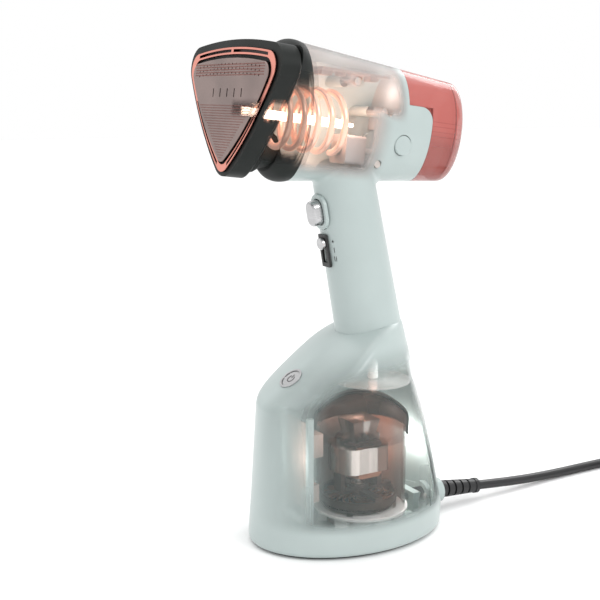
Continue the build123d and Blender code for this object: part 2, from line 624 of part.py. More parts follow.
save("brushes", Compound(children=[along_y(1.95, s * 4.9, s * 11.0, motor_x, 67) for s in (-1, 1)]))
bridge = slab(-26.4, 26.4, -3, 3, 26.0, 28.6) + slab(-3, 3, -26.4, 26.4, 26.0, 28.6) + rod(7.0, 26.0, 32.0)
for sx in (-1, 1):
    bridge += Pos(sx * 15.2, 0, (28.6 + stator_z0) / 2) * Box(3.6, 9.0, stator_z0 - 28.6)
bridge -= rod(5.0, 27.4, 40)
bridge -= rod(3.4, 20, 40)
bridge += tube(fan_radius, fan_radius - 1.6, 21.0, 26.1)
for i in range(4):
    foot_post = slab(fan_radius - 1.6, fan_radius - 0.2, -2.0, 2.0, chamber_floor_z, 22.0)
    bridge += Rot(0, 0, 90 * i + 45) * foot_post
save("lower_bracket", Pos(motor_x, 0, 0) * bridge)
bearings = [tube(5.0, shaft_radius + shaft_gap, z, z + 4.0, motor_x) for z in (27.4, 73.9)]
save("motor_bearings", Compound(children=bearings))
impeller = rod(24.6, 17.5, 18.7) + rod(5.0, 17.5, 24.5) - rod(shaft_radius, 10, 30)
vane = Pos(0, 13.5, 0) * tube(13.95, 13.05, 18.7, 24.2)
vane = vane & slab(0, 30, -5, 30, 10, 30)
vane = vane & tube(24.2, 4.9, 18.7, 24.2)
for i in range(20):
    impeller += Rot(0, 0, 18 * i) * vane
save("impeller", Pos(motor_x, 0, 0) * impeller)

handle_axis = [(air_x, 0, 113.0), (air_x, 0, 128.0), (10.4, 0, 185.0), (3.6, 0, 222.0)]
air_outer = pipe([(air_x, 0, 96.9), *handle_axis[1:]], [60, 300], 3.6)
air_inner = pipe([(air_x, 0, 96.8), *handle_axis[1:]], [60, 300], 2.6)
shelf = base_inner & slab(-30, 60, -60, 60, 104.0, 105.6)
shelf &= rod(26.0, 100, 110, air_x)
save("air_duct", air_outer + shelf - air_inner)
power_board = slab(-38.0, -36.4, -16.4, 16.4, 24, 84) + slab(-36.4, -26.0, -12, -1, 60, 76)
power_board += slab(-36.4, -24.4, 3, 14, 50, 70) + along_x(5.0, -36.4, -25.0, 6, 38)
power_board += slab(-36.4, -31.0, -15, -6, 30, 42)
save("power_board", power_board)
holder = slab(-42.0, -38.0, -19.5, -16.0, 17.0, 90) + slab(-42.0, -38.0, 16.0, 19.5, 17.0, 90)
holder += slab(-44.0, -38.0, -19.5, 19.5, 4.0, 17.0)
bottom += holder
loom_points = [(-34.0, 0, 84.2), (-28.0, 0, 104.0), (4.0, 0, 126.0), (4.0, 0, 150.0), (1.0, 0, 166.0)]
loom = pipe(loom_points, [12, 14, 30], 1.6)
save("wire_loom", loom)

# ================================================================ cord
relief_drop, relief_length = 5.5, 36.0
relief = Pos(gland_end, 0, gland_z) * Rot(0, relief_drop, 0)
sleeve = loft([across(0.7) * Circle(6.4), across(relief_length) * Circle(5.0)])
for i in range(4):
    x = 5.2 + 6.6 * i
    sleeve -= tube_x(8.0, 4.5, x, x + 1.7)
sleeve += along_x(5.6, relief_length - 3.0, relief_length)
save("strain_relief", relief * sleeve + along_x(5.1, base_rear - 14.0, gland_end + 1.3, 0, gland_z))
clamp_block = slab(base_rear - 21.0, base_rear - 15.0, -9.0, 9.0, 4.2, gland_z + 5.0)
clamp_block -= along_x(3.0, 30, 80, 0, gland_z)
bottom += clamp_block
save("base_bottom", bottom)

first = [(relief * Pos(relief_length + run, 0, 0)).position for run in (0.0, 34.0)]
route = first + [Vector(*p) for p in cord_points]
radii = []
for before, here, after in zip(route, route[1:], route[2:]):
    turn = (here - before).get_angle(after - here)
    shorter = min((here - before).length, (after - here).length)
    radii.append(0.45 * shorter / math.tan(math.radians(turn) / 2))
print("cord radii", [round(r, 1) for r in radii])
path = FilletPolyline(*route, radius=radii)
cord = sweep(Plane(origin=path @ 0, z_dir=path % 0) * Circle(cord_diameter / 2), path=path)
print("cord", round(path.length, 1), round(cord.volume / (math.pi * cord_diameter**2 / 4 * path.length), 5))
save("cord", cord)
turns_across, turns_up = 3, 3
ring_w = turns_across * cord_diameter / 2
ring_height = turns_up * cord_diameter
coil_solid = tube(coil_mid_radius + ring_w, coil_mid_radius - ring_w, 0.0, ring_height, *coil_centre)
coil_solid = fillet(coil_solid.edges(), 3.0)
tail_z = 10.6
coil_tail = (coil_centre[0] + 28.0, coil_centre[1] - coil_mid_radius, tail_z)
plug_spot = (coil_centre[0] + 4.0, coil_centre[1] - coil_mid_radius - 19.5, tail_z)
plug_at = Pos(*plug_spot) * Rot(0, 0, 190)
coil_solid += pipe([coil_tail, tuple((plug_at * Pos(-3.0, 0, 0)).position)], [], cord_diameter / 2)
save("cord_coil", coil_solid)
coiled = turns_across * turns_up * 2 * math.pi * coil_mid_radius
print("cord total", round(coiled + path.length))

# ================================================================ plug
plug = fillet(slab(16.0, 50.0, -13.5, 13.5, -10.0, 10.0).edges(), 4.0)
plug += loft([across(-6.0) * Circle(4.2), across(18.0) * Circle(6.2)])
plug -= slab(48.0, 51.0, -11.0, 11.0, -0.4, 0.4)
blades = [slab(46.0, 68.0, y - 0.8, y + 0.8, -3.2, 3.2) for y in (-6.35, 6.35)]
for blade in blades:
    plug -= blade
save("plug", plug_at * plug)
save("plug_blades", Compound(children=[plug_at * b for b in blades]))
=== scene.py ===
import math

import bpy
from mathutils import Matrix, Vector


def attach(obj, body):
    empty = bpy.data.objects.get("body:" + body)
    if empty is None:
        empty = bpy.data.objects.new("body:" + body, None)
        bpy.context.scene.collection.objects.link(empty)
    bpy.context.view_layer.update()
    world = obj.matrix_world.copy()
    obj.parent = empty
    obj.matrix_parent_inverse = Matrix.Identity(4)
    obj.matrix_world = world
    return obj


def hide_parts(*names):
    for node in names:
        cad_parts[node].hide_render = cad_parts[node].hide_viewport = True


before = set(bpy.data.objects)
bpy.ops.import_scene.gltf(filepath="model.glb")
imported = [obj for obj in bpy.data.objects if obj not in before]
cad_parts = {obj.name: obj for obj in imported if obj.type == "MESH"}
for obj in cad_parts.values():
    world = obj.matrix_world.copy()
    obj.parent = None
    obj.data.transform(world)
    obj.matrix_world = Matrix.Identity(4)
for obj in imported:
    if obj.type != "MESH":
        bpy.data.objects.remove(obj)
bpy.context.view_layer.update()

bl_info = {
    "name": "Garment steamer looks",
    "version": (1, 0, 0),
    "blender": (4, 5, 0),
    "location": "View3D > Sidebar > Steamer",
    "description": "Finishes a handheld garment steamer around its fixed frame",
    "category": "Object",
}

BARREL_AT = Vector((-0.0532, 0.0, 0.2902))
BARREL_TILT = math.radians(7.1)
BARREL = Matrix.Translation(BARREL_AT) @ Matrix.Rotation(BARREL_TILT, 4, "Y")
PLATE_S = -0.0375
UPPER_PIPS_V, LOWER_PIPS_V = 0.0203, -0.0175
PIP_WEDGE = (0.95, -0.0355)  # slope of the plate's sides, and its tip
CHAMBER_X = 0.0124
FLOOR_SIZE = 12.0
CAMERA_AT, CAMERA_AIM, CAMERA_LENS = (-0.40349, -0.62655, 0.30321), (0.49610, 0.84830, -0.18511), 67.156
CUT = (0.505, 0.863)  # level direction square to the cut-away face of the blower chamber
SLOPE = Matrix.Translation((-0.0658, 0, 0.098)) @ Matrix.Rotation(math.radians(-36.2), 4, "Y")
SLIDER = Matrix.Translation((-0.018, 0, 0.198)) @ Matrix.Rotation(math.radians(-9.9), 4, "Y")


# ---------------------------------------------------------------- sizes and colours
def colour_prop(name, default, description):
    return bpy.props.FloatVectorProperty(
        name=name, description=description, default=default, size=3, min=0, max=1, subtype="COLOR"
    )


def length_prop(name, default, description):
    return bpy.props.FloatProperty(name=name, description=description, default=default, unit="LENGTH")


def factor_prop(name, default, description):
    return bpy.props.FloatProperty(
        name=name, description=description, default=default, min=0, max=1, subtype="FACTOR"
    )


class SteamerSizes(bpy.types.PropertyGroup):
    cord_diameter: length_prop("Cord diameter", 0.007, "Outer diameter of the mains cord")
    coil_radius: length_prop("Coil radius", 0.040, "Radius of the stored coil at the middle of its turns")
    pip_radius: length_prop("Pip radius", 0.00042, "Radius of one fine opening in the steam plate")
    pip_pitch: length_prop("Pip pitch", 0.0016, "Distance between fine openings")
    mark_height: length_prop("Mark height", 0.0034, "Height of the marks beside the slider")
    window: factor_prop("Window strength", 0.93, "How clear the see-through parts of the shell are")
    collar_window: factor_prop("Collar window", 0.86, "How clear the see-through part of the black head is")


class SteamerColours(bpy.types.PropertyGroup):
    mint: colour_prop("Mint", (0.40, 0.465, 0.455), "Shell")
    coral: colour_prop("Coral", (0.45, 0.122, 0.106), "Water tank")
    salmon: colour_prop("Salmon", (0.80, 0.31, 0.24), "Trim round the steam plate")
    black: colour_prop("Black", (0.010, 0.012, 0.011), "Steam head")
    plate: colour_prop("Plate", (0.26, 0.195, 0.18), "Steam plate")
    bronze: colour_prop("Bronze", (0.115, 0.080, 0.068), "Blower chamber")
    copper: colour_prop("Copper", (0.75, 0.33, 0.20), "Windings")
    coil: colour_prop("Coil", (0.80, 0.50, 0.38), "Steam coil")
    silver: colour_prop("Silver", (0.50, 0.50, 0.505), "Buttons and slider")
    steel: colour_prop("Steel", (0.62, 0.56, 0.52), "Motor steel")
    rubber: colour_prop("Rubber", (0.012, 0.012, 0.013), "Cord and strain relief")


# ---------------------------------------------------------------- finishes
class Finish:
    """A node material on Object coordinates, with helpers for its branches."""

    def __init__(self, name):
        self.material = bpy.data.materials.new(name)
        self.material.use_nodes = True
        self.tree = self.material.node_tree
        self.shader = self.tree.nodes["Principled BSDF"]
        self.place = self.add("ShaderNodeTexCoord").outputs["Object"]

    def add(self, kind, **values):
        node = self.tree.nodes.new(kind)
        for key, value in values.items():
            if hasattr(node, key):
                setattr(node, key, value)
            else:
                node.inputs[key.replace("_", " ").title()].default_value = value
        return node

    def link(self, a, b):
        self.tree.links.new(a, b)

    def math(self, operation, a, b):
        node = self.add("ShaderNodeMath", operation=operation)
        for socket, value in zip(node.inputs, (a, b)):
            if isinstance(value, (int, float)):
                socket.default_value = value
            else:
                self.link(value, socket)
        return node.outputs[0]

    def ramp(self, value, low, high, to_low=0.0, to_high=1.0):
        node = self.add("ShaderNodeMapRange", interpolation_type="SMOOTHSTEP")
        self.link(value, node.inputs["Value"])
        for key, number in (("From Min", low), ("From Max", high), ("To Min", to_low), ("To Max", to_high)):
            node.inputs[key].default_value = number
        return node.outputs["Result"]

    def band(self, value, a, b, c, d):
        return self.math("MULTIPLY", self.ramp(value, a, b), self.ramp(value, c, d, 1.0, 0.0))

    def axes(self, at=(0, 0, 0), turn=(0, 0, 0)):
        mapping = self.add("ShaderNodeMapping", vector_type="TEXTURE")
        mapping.inputs["Location"].default_value = at
        mapping.inputs["Rotation"].default_value = turn
        self.link(self.place, mapping.inputs["Vector"])
        split = self.add("ShaderNodeSeparateXYZ")
        self.link(mapping.outputs[0], split.inputs[0])
        return split.outputs

    def barrel_axes(self):
        """Along the barrel from its front, across it and up from its axis."""
        return self.axes(BARREL_AT, (0, BARREL_TILT, 0))

    def sum(self, x, y, a, b, c=0.0):
        """a x + b y + c"""
        rest = self.math("ADD", self.math("MULTIPLY", y, b), c)
        return self.math("ADD", self.math("MULTIPLY", x, a), rest)

    def fade(self, mask, strength):
        """Clear where mask is 1, by strength."""
        left = self.math("SUBTRACT", 1.0, self.math("MULTIPLY", mask, strength))
        self.link(left, self.shader.inputs["Alpha"])

    def tint(self, mask, colour):
        mix = self.add("ShaderNodeMix", data_type="RGBA")
        self.link(mask, mix.inputs["Factor"])
        self.link(self.shader.inputs["Base Color"].links[0].from_socket, mix.inputs["A"])
        mix.inputs["B"].default_value = (*colour, 1)
        self.link(mix.outputs["Result"], self.shader.inputs["Base Color"])

    def noise(self, scale, detail=3.0, stretch=(1, 1, 1)):
        mapping = self.add("ShaderNodeMapping")
        mapping.inputs["Scale"].default_value = stretch
        self.link(self.place, mapping.inputs["Vector"])
        node = self.add("ShaderNodeTexNoise")
        node.inputs["Scale"].default_value = scale
        node.inputs["Detail"].default_value = detail
        self.link(mapping.outputs[0], node.inputs["Vector"])
        return node.outputs["Fac"]

    def colours(self, value, dark, light, low=0.3, high=0.7):
        mix = self.add("ShaderNodeMix", data_type="RGBA")
        self.link(self.ramp(value, low, high), mix.inputs["Factor"])
        mix.inputs["A"].default_value = (*dark, 1)
        mix.inputs["B"].default_value = (*light, 1)
        return mix.outputs["Result"]

    def bump(self, height, strength, distance):
        node = self.add("ShaderNodeBump")
        node.inputs["Strength"].default_value = strength
        node.inputs["Distance"].default_value = distance
        self.link(height, node.inputs["Height"])
        self.link(node.outputs[0], self.shader.inputs["Normal"])


def shade(colour, factor):
    return tuple(min(1.0, c * factor) for c in colour)


def surface(name, colour, rough, metal=0.0, grain=900.0, grain_depth=0.02, vary=0.05, stretch=(1, 1, 1)):
    f = Finish(name)
    patches = f.noise(38.0, 2.0, stretch)
    tone = f.colours(patches, shade(colour, 1 - vary), shade(colour, 1 + vary))
    f.link(tone, f.shader.inputs["Base Color"])
    f.link(f.ramp(patches, 0.2, 0.8, rough * 0.86, rough * 1.14), f.shader.inputs["Roughness"])
    f.bump(f.noise(grain, 4.0, stretch), grain_depth, 0.0004)
    f.shader.inputs["Metallic"].default_value = metal
    return f


def paint(material, *nodes):
    for node in nodes:
        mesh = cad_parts[node].data
        mesh.materials.clear()
        mesh.materials.append(material)


def smooth_nodes(*nodes):
    for node in nodes:
        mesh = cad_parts[node].data
        mesh.shade_smooth()
        mesh.set_sharp_from_angle(angle=math.radians(35))


def new_piece(name, mesh, material, body):
    obj = bpy.data.objects.new(name, mesh)
    bpy.context.scene.collection.objects.link(obj)
    mesh.materials.clear()
    mesh.materials.append(material)
    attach(obj, body)
    return obj


def settings():
    scene = bpy.context.scene
    return scene.steamer_sizes, scene.steamer_colours


# ---------------------------------------------------------------- stage
class STEAMER_OT_stage(bpy.types.Operator):
    """Add the pale floor, the soft studio light and the camera"""

    bl_idname = "steamer.stage"
    bl_label = "Stage"

    def execute(self, context):
        scene = context.scene
        scene.view_settings.view_transform = "Standard"
        floor = Finish("studio_floor")
        cloud = floor.noise(3.0)
        tone = floor.colours(cloud, (0.90, 0.90, 0.90), (0.91, 0.91, 0.91))
        floor.link(tone, floor.shader.inputs["Base Color"])
        floor.shader.inputs["Specular IOR Level"].default_value = 0.1
        floor.shader.inputs["Roughness"].default_value = 0.75
        mesh = bpy.data.meshes.new("floor")
        half = FLOOR_SIZE / 2
        corners = [(-half, -half, 0), (half, -half, 0), (half, half, 0), (-half, half, 0)]
        mesh.from_pydata(corners, [], [(0, 1, 2, 3)])
        obj = bpy.data.objects.new("floor", mesh)
        scene.collection.objects.link(obj)
        mesh.materials.append(floor.material)
        world = bpy.data.worlds.new("studio")
        scene.world = world
        world.use_nodes = True
        world.node_tree.nodes["Background"].inputs["Color"].default_value = (1, 1, 1, 1)
        world.node_tree.nodes["Background"].inputs["Strength"].default_value = 1.0
        sun = bpy.data.lights.new("sky", "SUN")
        sun.energy = 0.8
        sun.angle = math.radians(70)
        high = bpy.data.objects.new("sky", sun)
        high.rotation_euler = (math.radians(-12), math.radians(-14), 0)
        scene.collection.objects.link(high)
        for name, at, aim, size, power in (
            ("key", (0.3, -1.1, 0.9), (0, 0, 0.15), 0.5, 5.0),
            ("rim", (0.9, 0.3, 0.8), (0, 0, 0.2), 0.5, 4.0),
        ):
            light = bpy.data.lights.new(name, "AREA")
            light.size = size
            light.energy = power
            lamp = bpy.data.objects.new(name, light)
            lamp.location = at
            lamp.rotation_euler = (Vector(aim) - Vector(at)).to_track_quat("-Z", "Y").to_euler()
            scene.collection.objects.link(lamp)
        heat = BARREL @ Vector((0.012, 0, -0.003))
        warm, pale = (1.0, 0.60, 0.46), (1.0, 0.99, 0.97)
        for name, at, power, radius, tone in (
            ("front_fill", (-0.050, -0.006, 0.060), 0.045, 0.012, pale),
            ("rear_fill", (0.054, 0.004, 0.055), 0.075, 0.008, pale),
            ("top_fill", (0.026, -0.012, 0.118), 0.012, 0.008, pale),
            ("barrel_fill", BARREL @ Vector((0.040, -0.004, 0.030)), 0.025, 0.008, pale),
            ("tank_fill", BARREL @ Vector((0.076, -0.004, 0.022)), 0.010, 0.008, pale),
            ("heater_glow", heat, 0.06, 0.006, warm),
            ("rear_glow", BARREL @ Vector((0.047, -0.012, 0.002)), 0.03, 0.006, warm),
            ("chamber_glow", (0.010, -0.004, 0.0905), 0.07, 0.006, warm),
            ("side_glow", (0.030, 0.000, 0.050), 0.018, 0.010, warm),
        ):
            light = bpy.data.lights.new(name, "POINT")
            light.energy = power
            light.shadow_soft_size = radius
            light.color = tone
            lamp = bpy.data.objects.new(name, light)
            lamp.location = at
            lamp.visible_camera = False
            lamp.visible_glossy = False
            scene.collection.objects.link(lamp)
        camera = bpy.data.cameras.new("camera")
        camera.lens = CAMERA_LENS
        camera.sensor_width = 36.0
        camera.clip_start = 0.01
        eye = bpy.data.objects.new("camera", camera)
        eye.location = CAMERA_AT
        eye.rotation_euler = Vector(CAMERA_AIM).to_track_quat("-Z", "Y").to_euler()
        scene.collection.objects.link(eye)
        scene.camera = eye
        return {"FINISHED"}


# ---------------------------------------------------------------- cord
CORD_ROUTE = [
    (0.116434, 0.0, 0.009949),
    (0.150278, 0.0, 0.006691),
    (0.192, 0.0025, 0.0039),
    (0.243, 0.0035, 0.0036),
    (0.274, 0.0026, 0.0036),
]
COIL_CENTRE = (0.305, -0.047)
CORD_END = [(0.3235, -0.1000, 0.0106), (0.3149, -0.1055, 0.0106), (0.3090, -0.1065, 0.0106)]
# A coiled turn moves out and up to the next place in its bundle over these shares of the turn.
MOVE_OUT_FROM, MOVE_UP_FROM, MOVE_SHARE, TAIL_SHARE = 0.45, 0.7, 0.25, 0.45
COIL_HEIGHT, COIL_STEPS, TURN_COUNT, TURNS_SWEPT = 0.0036, 128, 8.5, 8.4167
COIL_TURNS = [(0, 1), (0, 0), (0, -1), (1, -1), (2, -1), (1, 0), (2, 0), (1, 1), (2, 1), (1, 2)]


class STEAMER_OT_cord(bpy.types.Operator):
    """Make the mains cord with its stored coil, and finish the plug and strain relief"""

    bl_idname = "steamer.cord"
    bl_label = "Cord"

    def execute(self, context):
        sizes, colours = settings()
        rubber = surface("cord_rubber", colours.rubber, 0.42, grain=1400.0, grain_depth=0.05, vary=0.12)
        points = list(CORD_ROUTE)
        step = sizes.cord_diameter * 1.02
        for i in range(COIL_STEPS + 1):
            turn = i * TURN_COUNT / COIL_STEPS
            angle = math.radians(90) - 2 * math.pi * turn * TURNS_SWEPT / TURN_COUNT
            here, after = COIL_TURNS[int(turn)], COIL_TURNS[int(turn) + 1]
            out_share = min(1.0, max(0.0, (turn % 1.0 - MOVE_OUT_FROM) / MOVE_SHARE))
            up_share = min(1.0, max(0.0, (turn % 1.0 - MOVE_UP_FROM) / MOVE_SHARE))
            if turn > int(TURN_COUNT):
                out_share = up_share = min(1.0, (turn - int(TURN_COUNT)) / TAIL_SHARE)
            up = here[0] + (after[0] - here[0]) * up_share
            out = here[1] + (after[1] - here[1]) * out_share
            radius = sizes.coil_radius + out * step
            points.append(
                (
                    COIL_CENTRE[0] + radius * math.cos(angle),
                    COIL_CENTRE[1] + radius * math.sin(angle),
                    COIL_HEIGHT + up * step,
                )
            )
        points += CORD_END
        data = bpy.data.curves.new("mains_cord", "CURVE")
        data.dimensions = "3D"
        data.bevel_depth = sizes.cord_diameter / 2
        data.bevel_resolution = 5
        data.use_fill_caps = True
        spline = data.splines.new("NURBS")
        spline.points.add(len(points) - 1)
        for point, co in zip(spline.points, points):
            point.co = (*co, 1)
        spline.order_u = 3
        spline.use_endpoint_u = True
        spline.resolution_u = 6
        data.materials.append(rubber.material)
        cord = bpy.data.objects.new("mains_cord", data)
        context.scene.collection.objects.link(cord)
        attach(cord, "stand")
        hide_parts("cord", "cord_coil")
        paint(rubber.material, "strain_relief", "plug")
        blade = surface("plug_blades", (0.80, 0.66, 0.38), 0.25, 1.0, grain=500.0, stretch=(1, 8, 1))
        paint(blade.material, "plug_blades")
        return {"FINISHED"}


# ---------------------------------------------------------------- shell
def mint_finish(name, colours):
    f = surface(name, colours.mint, 0.34, grain=1500.0, grain_depth=0.035, vary=0.015)
    f.shader.inputs["Coat Weight"].default_value = 0.25
    f.shader.inputs["Coat Roughness"].default_value = 0.2
    return f


class STEAMER_OT_shell(bpy.types.Operator):
    """Finish the mint shells, with the near side see-through where the works show"""

    bl_idname = "steamer.shell"
    bl_label = "Shell"

    def execute(self, context):
        sizes, colours = settings()
        opaque = mint_finish("mint_shell", colours)
        paint(opaque.material, "right_shell", "button_bezel", "release_button_left", "release_button_right")
        barrel = mint_finish("mint_barrel_window", colours)
        s, y, v = barrel.barrel_axes()
        front = barrel.band(s, 0.004, 0.010, 0.052, 0.076)
        whole = barrel.band(s, 0.004, 0.010, 0.076, 0.086)
        wide = barrel.math("MULTIPLY", front, barrel.ramp(v, -0.040, -0.028))
        upper = barrel.math("MULTIPLY", whole, barrel.ramp(v, 0.000, 0.010))
        window = barrel.math("MAXIMUM", wide, upper)
        barrel.tint(window, (0.52, 0.475, 0.46))
        barrel.fade(barrel.math("MULTIPLY", window, barrel.ramp(v, 0.042, 0.012, 0.52, 1.0)), sizes.window)
        paint(barrel.material, "left_shell")
        base = mint_finish("mint_base_window", colours)
        x, y, z = base.axes()
        near = base.ramp(y, 0.004, -0.012, 0.0, 1.0)
        high = base.math("MULTIPLY", base.math("MAXIMUM", base.math("SUBTRACT", z, 0.100), 0.0), -1.3)
        along = base.band(base.math("ADD", x, high), -0.076, -0.036, 0.044, 0.066)
        window = base.math("MULTIPLY", along, near)
        window = base.math("MULTIPLY", window, base.band(z, 0.016, 0.026, 0.112, 0.136))
        base.fade(window, sizes.window)
        paint(base.material, "base_body")
        paint(opaque.material, "base_bottom")
        smooth_nodes("left_shell", "right_shell", "base_body", "base_bottom", "button_bezel")
        return {"FINISHED"}


# ---------------------------------------------------------------- steam head
def place_pips(name, material, body, rows, columns, radius, pitch, height, wedge):
    """Fine openings in a grid on the plate, kept above the two lines of wedge = (slope, tip)."""
    tree = bpy.data.node_groups.new(name, "GeometryNodeTree")
    face = tree.interface
    face.new_socket("Geometry", in_out="INPUT", socket_type="NodeSocketGeometry")
    face.new_socket("Geometry", in_out="OUTPUT", socket_type="NodeSocketGeometry")
    pip_in = face.new_socket("Pip radius", in_out="INPUT", socket_type="NodeSocketFloat")
    width_in = face.new_socket("Width", in_out="INPUT", socket_type="NodeSocketFloat")
    height_in = face.new_socket("Height", in_out="INPUT", socket_type="NodeSocketFloat")
    nodes, links = tree.nodes, tree.links
    start, end = nodes.new("NodeGroupInput"), nodes.new("NodeGroupOutput")
    grid = nodes.new("GeometryNodeMeshGrid")
    grid.inputs["Vertices X"].default_value = columns
    grid.inputs["Vertices Y"].default_value = rows
    links.new(start.outputs["Width"], grid.inputs["Size X"])
    links.new(start.outputs["Height"], grid.inputs["Size Y"])
    position = nodes.new("GeometryNodeInputPosition")
    split = nodes.new("ShaderNodeSeparateXYZ")
    links.new(position.outputs[0], split.inputs[0])
    size = nodes.new("ShaderNodeMath")
    size.operation = "ABSOLUTE"
    links.new(split.outputs["X"], size.inputs[0])
    reach = nodes.new("ShaderNodeMath")
    reach.operation = "MULTIPLY_ADD"
    links.new(size.outputs[0], reach.inputs[0])
    reach.inputs[1].default_value = wedge[0] if wedge else 0.0
    reach.inputs[2].default_value = (wedge[1] if wedge else -1.0) - height
    outside = nodes.new("FunctionNodeCompare")
    outside.operation = "GREATER_THAN"
    links.new(reach.outputs[0], outside.inputs[0])
    links.new(split.outputs["Y"], outside.inputs[1])
    drop = nodes.new("GeometryNodeDeleteGeometry")
    links.new(grid.outputs["Mesh"], drop.inputs["Geometry"])
    links.new(outside.outputs[0], drop.inputs["Selection"])
    pip = nodes.new("GeometryNodeMeshCylinder")
    pip.inputs["Vertices"].default_value = 8
    pip.inputs["Depth"].default_value = 0.0002
    links.new(start.outputs["Pip radius"], pip.inputs["Radius"])
    spread = nodes.new("GeometryNodeInstanceOnPoints")
    links.new(drop.outputs[0], spread.inputs["Points"])
    links.new(pip.outputs["Mesh"], spread.inputs["Instance"])
    turn = nodes.new("GeometryNodeTransform")
    links.new(spread.outputs[0], turn.inputs["Geometry"])
    move = BARREL @ Matrix.Translation((PLATE_S - 0.00002, 0, height)) @ Matrix(
        ((0, 0, -1, 0), (-1, 0, 0, 0), (0, 1, 0, 0), (0, 0, 0, 1))
    )
    turn.inputs["Translation"].default_value = move.to_translation()
    turn.inputs["Rotation"].default_value = move.to_euler()
    real = nodes.new("GeometryNodeRealizeInstances")
    links.new(turn.outputs[0], real.inputs[0])
    coat = nodes.new("GeometryNodeSetMaterial")
    coat.inputs["Material"].default_value = material
    links.new(real.outputs[0], coat.inputs["Geometry"])
    links.new(coat.outputs[0], end.inputs[0])
    seed = bpy.data.objects.new(name + "_seed", bpy.data.meshes.new(name + "_seed"))
    bpy.context.scene.collection.objects.link(seed)
    modifier = seed.modifiers.new("pips", "NODES")
    modifier.node_group = tree
    modifier[pip_in.identifier] = radius
    modifier[width_in.identifier] = pitch * (columns - 1)
    modifier[height_in.identifier] = pitch * (rows - 1)
    graph = bpy.context.evaluated_depsgraph_get()
    mesh = bpy.data.meshes.new_from_object(seed.evaluated_get(graph), depsgraph=graph)
    mesh.name = name
    bpy.data.objects.remove(seed)
    return new_piece(name, mesh, material, body)


class STEAMER_OT_head(bpy.types.Operator):
    """Finish the steam head: plate with its fine openings, trim, black housing and collar"""

    bl_idname = "steamer.head"
    bl_label = "Steam head"

    def execute(self, context):
        sizes, colours = settings()
        black = surface("black_housing", colours.black, 0.5, grain=1100.0, grain_depth=0.05, vary=0.2)
        black.shader.inputs["Specular IOR Level"].default_value = 0.22
        s, y, v = black.barrel_axes()
        near = black.ramp(y, 0.012, -0.004)
        along = black.band(s, -0.026, -0.014, 0.0094, 0.0098)
        window = black.math("MULTIPLY", along, black.band(v, -0.036, -0.024, 0.010, 0.028))
        tongue = black.ramp(s, 0.0097, 0.0101)
        rod_height = black.band(v, -0.011, -0.006, 0.000, 0.005)
        streak = black.math("MULTIPLY", rod_height, black.ramp(s, -0.0345, -0.0300))
        window = black.math("MAXIMUM", black.math("MAXIMUM", window, streak), tongue)
        black.fade(black.math("MULTIPLY", window, near), sizes.collar_window)
        paint(black.material, "nozzle_housing", "nozzle_collar")
        paint(surface("plate_gasket", (0.006, 0.006, 0.006), 0.6).material, "plate_gasket")
        trim = surface("salmon_trim", colours.salmon, 0.28, 0.85, grain=700.0, grain_depth=0.02)
        s, y, v = trim.barrel_axes()
        trim.tint(trim.ramp(s, -0.0358, -0.0355), (0.02, 0.006, 0.006))
        rod_height = trim.band(v, -0.014, -0.007, 0.000, 0.007)
        trim.fade(trim.math("MULTIPLY", rod_height, trim.ramp(y, 0.0, -0.008)), 0.6)
        paint(trim.material, "plate_trim")
        plate = surface(
            "bronze_plate", colours.plate, 0.38, 0.75, grain=2600.0, grain_depth=0.25, vary=0.12
        )
        s, y, v = plate.barrel_axes()
        plate.tint(plate.ramp(s, -0.0371, -0.0366), (0.006, 0.005, 0.005))
        rod_height = plate.band(v, -0.010, -0.004, -0.002, 0.004)
        heat = plate.math("MULTIPLY", rod_height, plate.ramp(y, -0.007, -0.013))
        plate.fade(heat, 0.7)
        paint(plate.material, "steam_plate")
        # The fine openings are flat dark discs on the plate: their dark colour is painted shade in the
        # holes.
        dark = surface("plate_openings", (0.22, 0.075, 0.06), 0.7).material
        radius, pitch = sizes.pip_radius, sizes.pip_pitch
        top = place_pips("plate_upper_pips", dark, "stand", 5, 58, radius, pitch, UPPER_PIPS_V, None)
        small = radius * 0.8
        low = place_pips("plate_lower_pips", dark, "stand", 21, 45, small, pitch, LOWER_PIPS_V, PIP_WEDGE)
        smooth_nodes("nozzle_housing", "nozzle_collar", "plate_trim", "steam_plate")
        return {"FINISHED"}


